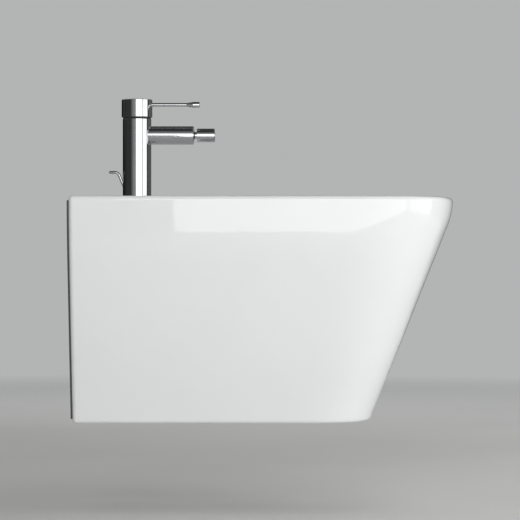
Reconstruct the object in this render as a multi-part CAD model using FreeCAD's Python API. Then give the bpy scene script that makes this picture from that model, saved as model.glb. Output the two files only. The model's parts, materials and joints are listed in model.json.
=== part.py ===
import FreeCAD, Part
import math
import os

Vec = FreeCAD.Vector
UP = Vec(0, 0, 1)
OUT = Vec(1, 0, 0)

# Sizes in millimetres. The origin is on the wall plane, midway between the two wall fixings.
# X points out of the wall, Y goes across and Z goes up. A depth is measured down from the rim,
# a height is measured up from the rim, and a reach is measured forward from the tap's axis.

# Fits
slip_gap = 0.1
run_gap = 0.05
free_gap = 0.3

# Ceramic body
pad_thickness = 2.5
pad_inset = 6.0
ceramic_length = 520.0
ceramic_width = 360.0
ceramic_height = 305.0
fixing_depth = 90.0
side_lean = 12.7
side_bend = 400.0
front_lean = 21.6
front_bend = 100.0
nose_length = 150.0
nose_power = 3.0
edge_radius = 5.5
ceramic_wall = 12.0
back_wall = 14.0
floor_wall = 12.0
deck_thickness = 18.0

# Basin
basin_back = 168.0
front_rim = 33.5
side_rim = 34.0
basin_depth = 126.0
basin_floor_length = 96.0
basin_floor_width = 92.0
basin_plan_power = 3.0
basin_profile_power = 2.5
basin_edge_radius = 9.0
basin_shell = 11.0

# Openings for the pipes
service_width = 140.0
service_reach = 320.0
service_rise = 130.0

# Wall fixings
fixing_spacing = 180.0
fixing_boss_size = 44.0
fixing_boss_depth = 20.0
sleeve_radius = 10.0
sleeve_bore = 6.3
sleeve_flange_radius = 14.0
sleeve_flange_thickness = 2.0
fixing_washer_radius = 15.0
fixing_washer_thickness = 2.5
fixing_nut_flats = 19.0
fixing_nut_height = 10.0
fixing_nut_bore = 6.05

# Overflow
overflow_depth = 42.0
overflow_radius = 11.0
overflow_ring_radius = 14.0
overflow_ring_thickness = 2.0
overflow_ring_bore = 8.5
overflow_sleeve_length = 8.0
overflow_seat_depth = 2.0
overflow_duct_radius = 6.0
overflow_duct_wall = 5.0
overflow_rib_width = 34.0

# Tap body
tap_x = 82.5
tap_hole_radius = 17.5
tap_gasket_thickness = 1.0
tap_gasket_radius = 22.0
tap_base_radius = 22.5
tap_base_thickness = 2.0
tap_base_bore = 17.0
tap_radius = 20.0
tap_top = 113.0
tap_edge = 0.5
inlet_reach = 1.5
inlet_offset = 9.0
inlet_radius = 4.5
inlet_length = 15.0
inlet_duct_radius = 3.0
mixed_port_reach = 6.0
mixed_duct_radius = 2.6
mixed_riser_reach = 16.3
mixed_drop = 6.0

# Tap clamp under the deck
stud_reach = 12.5
stud_radius = 4.0
stud_grip = 12.0
clamp_radius = 25.0
clamp_slot_reach = 6.5
clamp_slot_width = 29.0
clamp_gasket_thickness = 3.0
clamp_plate_thickness = 3.0
clamp_nut_flats = 13.0
clamp_nut_height = 6.5
stud_end_length = 5.0

# Spout and swivel
spout_height = 90.0
spout_radius = 12.75
spout_length = 80.0
spout_bore = 7.5
spout_spigot_radius = 9.0
spout_spigot_depth = 5.8
collar_flange = 2.2
collar_chamfer = 1.0
collar_radius = 11.2
collar_length = 9.8
swivel_reach = 74.5
ball_radius = 8.5
swivel_ring_thickness = 1.3
swivel_ring_half_width = 2.2
swivel_lip_offset = 4.0
swivel_mouth_radius = 6.7
swivel_seal_thickness = 2.2
swivel_seal_bore = 7.7
swivel_washer_thickness = 2.0
swivel_washer_bore = 6.0

# Nozzle
neck_radius = 4.85
neck_bore = 3.0
nozzle_start = 84.3
nozzle_end = 109.4
nozzle_radius = 9.5
nozzle_round = 1.2
nozzle_back_wall = 3.0
nozzle_neck_bore = 6.3
nozzle_bore = 8.0
aerator_seat = 91.5
aerator_seal_thickness = 1.5
aerator_seal_bore = 5.0
aerator_recess = 1.0
aerator_face = 3.0
aerator_cup_bore = 6.8
aerator_hole_radius = 1.15
aerator_hole_pitch = 2.6

# Cartridge, with its heights measured up from the rim
cartridge_depth = 35.5
cartridge_floor = tap_top - cartridge_depth
cartridge_bore = 12.7
cartridge_seal_height = 2.0
cartridge_seal_radius = 3.0
cartridge_seal_bore = 1.8
cartridge_port_radius = 1.6
cartridge_nut_stand = 0.5
cartridge_nut_height = 10.0
cartridge_nut_top = tap_top + cartridge_nut_stand
housing_shoulder = cartridge_nut_top - cartridge_nut_height
housing_neck_length = 5.0
housing_top = housing_shoulder + housing_neck_length
housing_neck_radius = 11.4
housing_chamber_radius = 11.5
housing_floor = 8.0
fixed_disc_bottom = cartridge_floor + cartridge_seal_height + housing_floor
fixed_disc_thickness = 3.5
moving_disc_radius = 6.0
moving_disc_thickness = 3.4
carrier_thickness = 3.6
carrier_pocket_radius = 3.9
carrier_pocket_depth = 2.8
rotor_radius = 9.5
rotor_flange_radius = 10.8
rotor_flange_thickness = 1.5
pivot_drop = 1.5
pivot_height = tap_top - pivot_drop
rotor_rise = 5.0
rotor_top = pivot_height + rotor_rise
stem_radius = 3.0
stem_tip_gap = 1.25
stem_square = 7.0
stem_pin_radius = 1.5
flow_tilt = 20.0
slide_ring_rise = 1.0

# Handle
cap_gap = 2.5
cap_height = 24.5
cap_bottom = tap_top + cap_gap
cap_top = cap_bottom + cap_height
cap_edge = 0.6
cap_skirt_gap = 0.4
cap_skirt_wall = 1.1
cap_skirt_depth = 8.5
cap_skirt_bore = tap_radius + cap_skirt_gap
cap_radius = cap_skirt_bore + cap_skirt_wall
cap_skirt_top = cap_bottom + cap_skirt_depth
cap_cavity_radius = 17.0
cap_roof = 12.0
cap_ceiling = cap_top - cap_roof
stem_socket_depth = 6.0
stem_top = cap_ceiling + stem_socket_depth
lever_drop = 7.0
lever_height = cap_top - lever_drop
lever_radius = 2.5
lever_root_reach = 12.0
lever_flare_start = 69.5
lever_flare_end = 78.5
lever_tip_radius = 4.0
lever_end = 88.0
lever_end_chamfer = 0.5
grub_drop = 2.0
grub_height = lever_height - grub_drop
grub_radius = 2.0
grub_length = 8.0
plug_button_length = 5.0
plug_button_recess = 0.2

# Lift rod
lift_radius = 2.0
lift_lean = 22.4
lift_exit_height = 22.1
lift_handle_height = 38.0
lift_handle_reach = -37.4
lift_bend_radius = 6.0
lift_travel = 24.0
bush_radius = 3.2
bush_length = 9.0
lift_bore_radius = 2.7

# Pop-up waste
waste_x = 247.5
waste_flange_radius = 32.0
waste_flange_thickness = 3.0
waste_flange_recess = 0.5
waste_ledge_gap = 1.0
flange_seal_thickness = 1.0
flange_seal_bore = 23.2
waste_hole_radius = 23.0
waste_boss_radius = 42.0
waste_boss_thickness = 26.0
waste_tube_radius = 21.0
waste_tube_bore = 18.2
waste_seat_radius = 23.2
waste_seat_depth = 7.5
overflow_slot_width = 12.0
overflow_slot_height = 8.0
waste_seal_thickness = 4.0
waste_seal_radius = 31.0
waste_nut_height = 8.0
waste_nut_flats = 55.0
tee_nut_gap = 2.0
tee_cup_height = 8.0
tee_cup_radius = 25.5
tee_cup_wall = 2.0
tee_radius = 21.5
tee_bore = 17.5
tee_funnel = 3.0
tee_socket_length = 8.0
tee_socket_radius = 20.0

# Ball rod
port_drop = 11.0
tee_tail = 19.0
ball_rod_arm = 28.0
ball_rod_overrun = 6.0
ball_rod_radius = 2.5
ball_rod_ball = 7.0
ball_rod_tail = 12.0
port_radius = 11.0
port_length = 42.0
port_lip_bore = 5.2
port_lip = 0.5
ball_seat_inner_end = 23.0
ball_seat_outer_start = 33.0
ball_seat_bore = 5.2
ball_seat_flare = 6.3
ball_nut_radius = 14.5
ball_nut_overlap = 9.0
ball_nut_wall = 3.0
ball_nut_bore = 6.6

# Rod clamp on the lift rod
link_drop = 12.0
link_offset = 8.5
clamp_block_half = 6.5
clamp_block_side = 5.0
clamp_eye_radius = 4.4
clamp_eye_wall = 1.8
clamp_screw_radius = 1.5
clamp_screw_head = 3.5
lift_rod_tail = 12.0

# Plug
plug_radius = 20.5
plug_rim = 3.0
plug_edge = 1.0
plug_groove_radius = 17.2
plug_groove_height = 2.4
plug_cone_radius = 18.0
plug_cone_height = 5.0
plug_seal_section = 1.2
plug_stem_radius = 4.0
plug_eye_half = 5.0
plug_eye_half_height = 7.5
plug_eye_radius = 3.9
plug_fin_reach = 17.5
plug_fin_thickness = 2.0
plug_fin_start = 12.0
plug_fin_length = 18.0
plug_closed_drop = 1.0

# Bottle trap
pipe_radius = 16.0
pipe_bore = 14.2
slip_nut_radius = 25.0
slip_nut_wall = 3.0
slip_nut_skirt = 8.0
slip_seal_thickness = 2.0
slip_nut_rise = 1.0
trap_collar_radius = 21.0
trap_collar_length = 4.0
trap_radius = 29.0
trap_wall = 3.0
trap_head_length = 58.5
trap_cup_length = 25.5
trap_dip_gap = 10.0
trap_outlet_drop = 30.0
trap_outlet_collar = 19.5
trap_outlet_reach = 44.0
cup_grip_radius = 33.0
cup_overlap = 8.0
cup_seal_thickness = 2.0
outlet_insert = 14.0
outlet_socket_depth = 60.0
outlet_bead_width = 4.0
outlet_bead_height = 1.2
outlet_end_x = 0.5


def below_rim(depth):
    """Z of a point given by its depth under the rim."""
    return fixing_depth - depth


def above_rim(height):
    """Z of a point given by its height over the rim."""
    return fixing_depth + height


def tap_point(reach, side, height):
    """Point given by its reach in front of the tap's axis and its height over the rim."""
    return Vec(tap_x + reach, side, above_rim(height))


def rod(start, end, radius):
    """Cylinder from one point to another."""
    line = end - start
    return Part.makeCylinder(radius, line.Length, start, line)


def tube(start, end, outer, inner):
    """Hollow cylinder from one point to another."""
    return rod(start, end, outer).cut(rod(start, end, inner))


def ring(x, y, bottom, top, outer, inner):
    """Upright ring between two levels."""
    return tube(Vec(x, y, bottom), Vec(x, y, top), outer, inner)


def turned(points, x, y=0.0):
    """Solid turned about an upright line from (radius, z) points."""
    corners = [Vec(x + radius, y, z) for radius, z in points]
    face = Part.Face(Part.makePolygon(corners + corners[:1]))
    return face.revolve(Vec(x, y, 0), UP, 360)


def turned_forward(points, z):
    """Solid turned about a line along X from (x, radius) points."""
    corners = [Vec(x, 0, z + radius) for x, radius in points]
    face = Part.Face(Part.makePolygon(corners + corners[:1]))
    return face.revolve(Vec(0, 0, z), OUT, 360)


def box(low, high):
    """Box between two opposite corners."""
    size = high - low
    return Part.makeBox(size.x, size.y, size.z, low)


def hexagon(flats, start, end):
    """Six-sided prism from one point to another, sized across its flats."""
    line = end - start
    turn = FreeCAD.Rotation(UP, line)
    corner_radius = flats / math.sqrt(3.0)
    corners = []
    for step in range(6):
        angle = math.radians(60.0 * step)
        corner = Vec(corner_radius * math.cos(angle), corner_radius * math.sin(angle), 0)
        corners.append(start + turn.multVec(corner))
    return Part.Face(Part.makePolygon(corners + corners[:1])).extrude(line)


def both_sides(shape):
    """The shape and its mirror copy across the middle plane, as one node."""
    return Part.makeCompound([shape, shape.mirror(Vec(0, 0, 0), Vec(0, 1, 0))])


# Depths of the waste and trap, each from the piece above it
def waste_boss_depth():
    """Depth of the underside of the ceramic round the waste."""
    return basin_depth + waste_boss_thickness


def waste_tube_end():
    """Depth of the lower end of the waste's tube."""
    return waste_boss_depth() + waste_seal_thickness + waste_nut_height + tee_nut_gap + tee_cup_height


def ball_rod_depth():
    """Depth of the ball rod's pivot."""
    return waste_tube_end() + port_drop


def tee_bottom():
    """Depth of the shoulder in the tee that the trap's pipe meets."""
    return ball_rod_depth() + tee_tail


def slip_top():
    """Depth of the slip nut's top."""
    return tee_bottom() + tee_socket_length + slip_nut_rise


def collar_top():
    """Depth of the trap collar's top, under the slip seal."""
    return slip_top() + slip_nut_wall + slip_seal_thickness


def trap_outlet_depth():
    """Depth of the outlet pipe's axis."""
    return collar_top() + trap_outlet_drop


def trap_head_end():
    """Depth of the trap head's lower end."""
    return collar_top() + trap_head_length


def trap_bottom():
    """Depth of the trap cup's underside."""
    return trap_head_end() + trap_cup_length


def trap_dip_end():
    """Depth of the lower end of the trap's pipe."""
    return trap_bottom() - trap_dip_gap


# Ceramic body
def bent_inset(depth, bend, lean):
    """How far a wall has come in at a depth: upright at the rim, then an arc, then a straight lean."""
    angle = math.radians(lean)
    arc_depth = bend * math.sin(angle)
    if depth <= arc_depth:
        return bend - math.sqrt(bend * bend - depth * depth)
    return bend * (1.0 - math.cos(angle)) + (depth - arc_depth) * math.tan(angle)


def power_curve(angle, power):
    """Point of a rounded square with unit half sizes."""
    across = math.cos(angle)
    along = math.sin(angle)
    share = 2.0 / power
    return math.copysign(abs(across) ** share, across), math.copysign(abs(along) ** share, along)


def outline(depth, inset, back):
    """Closed plan outline of the body at a depth, moved in by inset."""
    half = ceramic_width / 2.0 - bent_inset(depth, side_bend, side_lean) - inset
    tip = pad_thickness + ceramic_length - bent_inset(depth, front_bend, front_lean) - inset
    nose = nose_length * 2.0 * half / ceramic_width
    z = below_rim(depth)
    steps = 32
    points = []
    for step in range(1, steps):
        forward, side = power_curve(math.radians(180.0 * step / steps - 90.0), nose_power)
        points.append(Vec(tip - nose + nose * forward, half * side, z))
    points = [Vec(tip - nose, -half, z)] + points + [Vec(tip - nose, half, z)]
    nose_curve = Part.BSplineCurve()
    nose_curve.interpolate(Points=points, InitialTangent=OUT, FinalTangent=-OUT, PeriodicFlag=False)
    near_back = Vec(back, -half, z)
    far_back = Vec(back, half, z)
    edges = [Part.makeLine(far_back, near_back), Part.makeLine(near_back, points[0])]
    edges += [nose_curve.toShape(), Part.makeLine(points[-1], far_back)]
    return Part.Wire(edges)


def body_loft(top_depth, bottom_depth, inset, back):
    """Solid through the body's outlines between two depths."""
    shares = [0.0, 0.05, 0.1, 0.15, 0.2, 0.3, 0.5, 0.75, 1.0]
    depths = [top_depth + share * (bottom_depth - top_depth) for share in shares]
    return Part.makeLoft([outline(depth, inset, back) for depth in depths], True, False)


def outer_body():
    """The outside of the ceramic with its rounded edges."""
    past_wall = 20.0
    blank = body_loft(0.0, ceramic_height, 0.0, pad_thickness - past_wall)
    room = ceramic_width + ceramic_height
    cutter = box(Vec(pad_thickness - 2.0 * past_wall, -room, -room), Vec(pad_thickness, room, room))
    blank = blank.cut(cutter)
    close = 0.1
    edges = []
    for edge in blank.Edges:
        bound = edge.BoundBox
        on_rim = bound.ZMin > below_rim(close)
        on_floor = bound.ZMax < below_rim(ceramic_height - close)
        on_back = bound.XMax < pad_thickness + close
        if on_rim or on_floor or on_back:
            edges.append(edge)
    return blank.makeFillet(edge_radius, edges)


def basin_section(level, drop, grow):
    """Closed outline of the basin at a level from 0 at the opening to 1 at the floor."""
    open_share = (1.0 - level ** basin_profile_power) ** (1.0 / basin_profile_power)
    basin_front = pad_thickness + ceramic_length - front_rim
    basin_width = ceramic_width - 2.0 * side_rim
    half_open = (basin_front - basin_back) / 2.0
    half_length = basin_floor_length / 2.0 + (half_open - basin_floor_length / 2.0) * open_share + grow
    half_width = (basin_floor_width + (basin_width - basin_floor_width) * open_share) / 2.0 + grow
    middle = waste_x + ((basin_front + basin_back) / 2.0 - waste_x) * open_share
    steps = 32
    points = []
    for step in range(steps):
        forward, side = power_curve(math.radians(360.0 * (step + 0.5) / steps), basin_plan_power)
        points.append(Vec(middle + half_length * forward, half_width * side, below_rim(drop)))
    curve = Part.BSplineCurve()
    curve.interpolate(Points=points, PeriodicFlag=True)
    return Part.Wire([curve.toShape()])


def basin_loft(grow):
    """The basin's hollow, grown outward by grow, with a rounded edge at the rim."""
    sections = []
    steps = 4
    for step in range(steps):
        angle = math.radians(90.0 * (1.0 - step / steps))
        drop = basin_edge_radius * (1.0 - math.sin(angle))
        flare = basin_edge_radius * (1.0 - math.cos(angle))
        sections.append(basin_section(drop / basin_depth, drop, grow + flare))
    first = basin_edge_radius / basin_depth
    start = math.degrees(math.asin(first ** (basin_profile_power / 2.0)))
    steps = 9
    for step in range(steps + 1):
        angle = math.radians(start + (90.0 - start) * step / steps)
        level = min(math.sin(angle) ** (2.0 / basin_profile_power), 1.0)
        sections.append(basin_section(level, level * (basin_depth + grow), grow))
    return Part.makeLoft(sections, True, False)


def fixing_end():
    """X of the inner face of the fixing bosses."""
    return pad_thickness + back_wall + fixing_boss_depth


def fixing_boss():
    """Thick pad behind one wall fixing, on the far side."""
    half = fixing_boss_size / 2.0
    start = pad_thickness + back_wall / 2.0
    middle = fixing_spacing / 2.0
    return box(Vec(start, middle - half, -half), Vec(fixing_end(), middle + half, half))


def duct_x():
    """X of the upright overflow duct behind the basin."""
    return basin_back - overflow_seat_depth - overflow_sleeve_length - overflow_duct_radius


def overflow_rib():
    """Solid rib behind the basin that holds the overflow duct."""
    back = duct_x() - overflow_duct_radius - overflow_duct_wall
    low = Vec(back, -overflow_rib_width / 2.0, below_rim(waste_boss_depth()))
    return box(low, Vec(waste_x, overflow_rib_width / 2.0, below_rim(deck_thickness / 2.0)))


def duct_depth():
    """Depth of the level run of the overflow duct, inside the waste boss."""
    return waste_boss_depth() - overflow_duct_wall - overflow_duct_radius


def overflow_cutters():
    """Hole, seat and duct of the overflow."""
    mouth = Vec(basin_back + overflow_radius, 0, below_rim(overflow_depth))
    seat = Vec(basin_back - overflow_seat_depth, 0, below_rim(overflow_depth))
    top = Vec(duct_x(), 0, below_rim(overflow_depth))
    bottom = Vec(duct_x(), 0, below_rim(duct_depth()))
    drain = Vec(waste_x, 0, below_rim(duct_depth()))
    cutters = [rod(top, mouth, overflow_radius), rod(seat, mouth, overflow_ring_radius + slip_gap)]
    cutters += [rod(bottom, top, overflow_duct_radius), rod(bottom, drain, overflow_duct_radius)]
    cutters.append(Part.makeSphere(overflow_duct_radius, bottom))
    return cutters


def body_hollow():
    """The open space inside the ceramic body, round the fixing bosses."""
    inner_back = pad_thickness + back_wall
    hollow = body_loft(deck_thickness, ceramic_height - floor_wall, ceramic_wall, inner_back)
    near_boss = fixing_boss().mirror(Vec(0, 0, 0), Vec(0, 1, 0))
    return hollow.cut(fixing_boss()).cut(near_boss)


def service_cutters():
    """Opening under the body and through its back for the pipes."""
    past = 10.0
    half = service_width / 2.0
    floor_top = below_rim(ceramic_height - floor_wall - past)
    floor_low = below_rim(ceramic_height + past)
    under = box(Vec(-past, -half, floor_low), Vec(service_reach - half, half, floor_top))
    end = Vec(service_reach - half, 0, floor_low)
    round_end = rod(end, Vec(end.x, 0, floor_top), half)
    notch_top = below_rim(ceramic_height - service_rise)
    through_back = pad_thickness + back_wall + past
    back = box(Vec(-past, -half, floor_low), Vec(through_back, half, notch_top))
    return [under, round_end, back]


def waste_recess_depth():
    """Depth of the ledge that takes the waste flange and its seal."""
    return basin_depth + waste_flange_recess + waste_flange_thickness + flange_seal_thickness


def waste_cutters():
    """Ledge and hole for the waste in the bowl's floor."""
    past = 5.0
    ledge = Vec(waste_x, 0, below_rim(waste_recess_depth()))
    ledge_top = Vec(waste_x, 0, below_rim(basin_depth - past))
    hole_low = Vec(waste_x, 0, below_rim(waste_boss_depth() + past))
    wide = rod(ledge, ledge_top, waste_flange_radius + waste_ledge_gap)
    return [wide, rod(hole_low, ledge_top, waste_hole_radius)]


def ceramic_body():
    """Outer casting: deck, rim, skirt and wall face."""
    body = outer_body().cut(basin_loft(0.0))
    cutters = [body_hollow()] + service_cutters()
    past = 5.0
    under_deck = tap_point(0, 0, -deck_thickness - past)
    cutters.append(rod(under_deck, tap_point(0, 0, past), tap_hole_radius))
    for side in (-1.0, 1.0):
        start = Vec(-past, side * fixing_spacing / 2.0, 0)
        cutters.append(rod(start, Vec(fixing_end() + past, start.y, 0), sleeve_radius))
    for cutter in cutters:
        body = body.cut(cutter)
    return body


def ceramic_bowl():
    """Bowl casting under the deck, with its waste boss and overflow rib, luted to the body before firing."""
    room = ceramic_length + ceramic_width
    under_deck = box(Vec(0, -room, below_rim(ceramic_height)), Vec(room, room, below_rim(deck_thickness)))
    boss_top = Vec(waste_x, 0, below_rim(basin_depth))
    boss = rod(Vec(waste_x, 0, below_rim(waste_boss_depth())), boss_top, waste_boss_radius)
    bowl = basin_loft(basin_shell).common(under_deck)
    bowl = bowl.fuse(overflow_rib().common(under_deck)).fuse(boss)
    for cutter in [basin_loft(0.0)] + overflow_cutters() + waste_cutters():
        bowl = bowl.cut(cutter)
    return bowl


def wall_pad():
    """Thin sound pad between the ceramic's back and the wall."""
    sheet = body_loft(pad_inset, ceramic_height - pad_inset, pad_inset, -pad_thickness)
    room = ceramic_width + ceramic_height
    sheet = sheet.common(box(Vec(0, -room, -room), Vec(pad_thickness, room, room)))
    for cutter in service_cutters():
        sheet = sheet.cut(cutter)
    for side in (-1.0, 1.0):
        start = Vec(-pad_thickness, side * fixing_spacing / 2.0, 0)
        sheet = sheet.cut(rod(start, Vec(2.0 * pad_thickness, start.y, 0), sleeve_radius))
    return sheet


def fixing_point(x):
    """Point on the axis of the far wall fixing."""
    return Vec(x, fixing_spacing / 2.0, 0)


def fixing_sleeves():
    """Two plastic sleeves through the ceramic's back."""
    flange_end = fixing_end() + sleeve_flange_thickness
    sleeve = tube(fixing_point(0), fixing_point(flange_end), sleeve_radius, sleeve_bore)
    flange = tube(fixing_point(fixing_end()), fixing_point(flange_end), sleeve_flange_radius, sleeve_bore)
    return both_sides(sleeve.fuse(flange))


def fixing_washers():
    """Two flat washers on the sleeves' flanges."""
    start = fixing_end() + sleeve_flange_thickness
    end = start + fixing_washer_thickness
    return both_sides(tube(fixing_point(start), fixing_point(end), fixing_washer_radius, sleeve_bore))


def fixing_nuts():
    """Two nuts that run on the wall's studs."""
    start = fixing_end() + sleeve_flange_thickness + fixing_washer_thickness
    end = start + fixing_nut_height
    nut = hexagon(fixing_nut_flats, fixing_point(start), fixing_point(end))
    return both_sides(nut.cut(rod(fixing_point(start), fixing_point(end), fixing_nut_bore)))


def overflow_ring():
    """Trim ring in the overflow hole."""
    z = below_rim(overflow_depth)
    seat = basin_back - overflow_seat_depth
    front = Vec(seat + overflow_ring_thickness, 0, z)
    flange = tube(Vec(seat, 0, z), front, overflow_ring_radius, overflow_ring_bore)
    sleeve_start = Vec(seat - overflow_sleeve_length, 0, z)
    return flange.fuse(tube(sleeve_start, front, overflow_radius, overflow_ring_bore))


# Tap body and its fixing
def tap_bottom():
    """Height of the tap body's underside."""
    return tap_gasket_thickness + tap_base_thickness


def tap_gasket():
    """Soft ring between the base ring and the deck."""
    return ring(tap_x, 0, above_rim(0), above_rim(tap_gasket_thickness), tap_gasket_radius, tap_hole_radius)


def tap_base():
    """Base ring under the tap body."""
    bottom = above_rim(tap_gasket_thickness)
    return ring(tap_x, 0, bottom, above_rim(tap_bottom()), tap_base_radius, tap_base_bore)


def lift_slope():
    """Forward move of the lift rod's line for each millimetre down."""
    return math.tan(math.radians(lift_lean))


def lift_point(height):
    """Point on the straight part of the lift rod at a height over the rim."""
    return tap_point(-tap_radius + (lift_exit_height - height) * lift_slope(), 0, height)


def lift_direction():
    """Unit direction of the lift rod's travel, up and back."""
    lean = math.radians(lift_lean)
    return Vec(-math.sin(lean), 0, math.cos(lean))


def spigot_reach():
    """Reach of the inner end of the spout's spigot."""
    return tap_radius - spout_spigot_depth


def mixed_riser():
    """Upright passage in the tap's wall that feeds the spout."""
    low = tap_point(mixed_riser_reach, 0, cartridge_floor - mixed_drop)
    return rod(low, tap_point(mixed_riser_reach, 0, spout_height), mixed_duct_radius)


def tap_passages():
    """Hollows of the tap body: cartridge bore, inlets, mixed water, stud, spigot and lift rod."""
    past = 5.0
    cutters = [rod(tap_point(0, 0, cartridge_floor), tap_point(0, 0, tap_top + past), cartridge_bore)]
    for side in (-inlet_offset, inlet_offset):
        low = tap_point(inlet_reach, side, tap_bottom() - past)
        cutters.append(rod(low, tap_point(inlet_reach, side, tap_bottom() + inlet_length), inlet_radius))
        cutters.append(rod(low, tap_point(inlet_reach, side, cartridge_floor + past), inlet_duct_radius))
    elbow = tap_point(-mixed_port_reach, 0, cartridge_floor - mixed_drop)
    cutters.append(rod(elbow, tap_point(-mixed_port_reach, 0, cartridge_floor + past), mixed_duct_radius))
    riser_foot = tap_point(mixed_riser_reach, 0, cartridge_floor - mixed_drop)
    cutters.append(rod(elbow, riser_foot, mixed_duct_radius))
    cutters.append(mixed_riser())
    stud_low = tap_point(stud_reach, 0, tap_bottom() - past)
    cutters.append(rod(stud_low, tap_point(stud_reach, 0, tap_bottom() + stud_grip), stud_radius))
    spigot_end = tap_point(tap_radius + past, 0, spout_height)
    cutters.append(rod(tap_point(spigot_reach(), 0, spout_height), spigot_end, spout_spigot_radius))
    exit_past = lift_point(lift_exit_height) + lift_direction() * past
    bush_foot = lift_point(lift_exit_height) - lift_direction() * bush_length
    cutters.append(rod(bush_foot, exit_past, bush_radius))
    cutters.append(rod(lift_point(-past), exit_past, lift_bore_radius))
    return cutters


def tap_body():
    """Upright body of the mixer tap."""
    low = above_rim(tap_bottom())
    high = above_rim(tap_top)
    points = [(0, low), (tap_radius, low), (tap_radius, high - tap_edge)]
    points += [(tap_radius - tap_edge, high), (0, high)]
    body = turned(points, tap_x)
    for cutter in tap_passages():
        body = body.cut(cutter)
    return body


def rod_bush():
    """Plastic guide for the lift rod in the back of the tap body."""
    past = 5.0
    exit_past = lift_point(lift_exit_height) + lift_direction() * past
    foot = lift_point(lift_exit_height) - lift_direction() * bush_length
    bush = tube(foot, exit_past, bush_radius, lift_radius + run_gap)
    return bush.common(rod(tap_point(0, 0, 0), tap_point(0, 0, tap_top), tap_radius))


def clamp_level(step):
    """Height of the faces in the stack under the deck, from 0 at the deck down to 3 under the nut."""
    thicknesses = [clamp_gasket_thickness, clamp_plate_thickness, clamp_nut_height]
    return -deck_thickness - sum(thicknesses[:step])


def tap_stud():
    """Threaded stud that holds the tap down."""
    low = tap_point(stud_reach, 0, clamp_level(3) - stud_end_length)
    return rod(low, tap_point(stud_reach, 0, tap_bottom() + stud_grip), stud_radius)


def horseshoe(top, bottom):
    """Horseshoe plate under the deck with a slot for the hoses and the lift rod."""
    plate = rod(tap_point(0, 0, bottom), tap_point(0, 0, top), clamp_radius)
    half = clamp_slot_width / 2.0
    slot = box(tap_point(-clamp_radius, -half, bottom), tap_point(clamp_slot_reach, half, top))
    stud = rod(tap_point(stud_reach, 0, bottom), tap_point(stud_reach, 0, top), stud_radius + slip_gap)
    return plate.cut(slot).cut(stud)


def clamp_gasket():
    """Rubber horseshoe against the deck's underside."""
    return horseshoe(clamp_level(0), clamp_level(1))


def clamp_plate():
    """Steel horseshoe under the rubber one."""
    return horseshoe(clamp_level(1), clamp_level(2))


def clamp_nut():
    """Nut on the tap's stud."""
    top = tap_point(stud_reach, 0, clamp_level(2))
    bottom = tap_point(stud_reach, 0, clamp_level(3))
    return hexagon(clamp_nut_flats, bottom, top).cut(rod(bottom, top, stud_radius))


# Spout and swivel nozzle
def collar_start():
    """Reach of the spout tube's front end, where the collar's flange begins."""
    return spout_length - collar_flange


def collar_back():
    """Reach of the collar's inner end."""
    return collar_start() - collar_length


def spout_tube():
    """Level spout tube with a spigot into the tap body."""
    z = above_rim(spout_height)
    pipe = rod(Vec(tap_x, 0, z), Vec(tap_x + collar_start(), 0, z), spout_radius)
    pipe = pipe.cut(rod(tap_point(0, 0, 0), tap_point(0, 0, 2.0 * spout_height), tap_radius))
    spigot = rod(Vec(tap_x + spigot_reach(), 0, z), Vec(tap_x + collar_back(), 0, z), spout_spigot_radius)
    pipe = pipe.fuse(spigot)
    pocket = collar_back() - swivel_washer_thickness
    pipe = pipe.cut(rod(Vec(tap_x + spigot_reach(), 0, z), Vec(tap_x + collar_start(), 0, z), spout_bore))
    pipe = pipe.cut(rod(Vec(tap_x + pocket, 0, z), Vec(tap_x + collar_start(), 0, z), collar_radius))
    return pipe.cut(mixed_riser())


def swivel_centre():
    """Centre of the swivel ball."""
    return tap_point(swivel_reach, 0, spout_height)


def socket_radius():
    """Radius of the collar's hollow round the swivel ring."""
    return ball_radius + run_gap + swivel_ring_thickness + run_gap


def swivel_collar():
    """Collar screwed into the spout that keeps the swivel ball in."""
    z = above_rim(spout_height)
    back = tap_x + collar_back()
    seam = tap_x + collar_start()
    face = tap_x + spout_length
    points = [(back, 0), (back, collar_radius), (seam, collar_radius), (seam, spout_radius)]
    points += [(face - collar_chamfer, spout_radius), (face, spout_radius - collar_chamfer), (face, 0)]
    collar = turned_forward(points, z)
    centre = swivel_centre()
    lip = centre + OUT * swivel_lip_offset
    wide = Part.makeSphere(socket_radius(), centre).common(rod(Vec(back, 0, z), lip, spout_radius))
    for cutter in (wide, rod(Vec(back, 0, z), centre, socket_radius())):
        collar = collar.cut(cutter)
    collar = collar.cut(Part.makeSphere(ball_radius + slip_gap, centre))
    return collar.cut(rod(lip, Vec(face, 0, z), swivel_mouth_radius))


def swivel_washer():
    """Stop washer behind the swivel's seal."""
    back = collar_back()
    start = tap_point(back - swivel_washer_thickness, 0, spout_height)
    return tube(start, tap_point(back, 0, spout_height), collar_radius, swivel_washer_bore)


def swivel_seal():
    """Rubber seal behind the swivel ball."""
    start = tap_point(collar_back(), 0, spout_height)
    return tube(start, start + OUT * swivel_seal_thickness, socket_radius(), swivel_seal_bore)


def swivel_ring():
    """Slippery ring round the swivel ball, turned with it from side to side."""
    centre = swivel_centre()
    shell = Part.makeSphere(socket_radius() - run_gap, centre)
    shell = shell.cut(Part.makeSphere(ball_radius + run_gap, centre))
    half = OUT * swivel_ring_half_width
    return shell.common(rod(centre - half, centre + half, socket_radius()))


def nozzle_ball():
    """Swivel ball with the neck that carries the nozzle."""
    centre = swivel_centre()
    neck_end = tap_point(nozzle_start + nozzle_back_wall, 0, spout_height)
    ball = Part.makeSphere(ball_radius, centre).fuse(rod(centre, neck_end, neck_radius))
    return ball.cut(rod(centre - OUT * ball_radius, neck_end, neck_bore))


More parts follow.
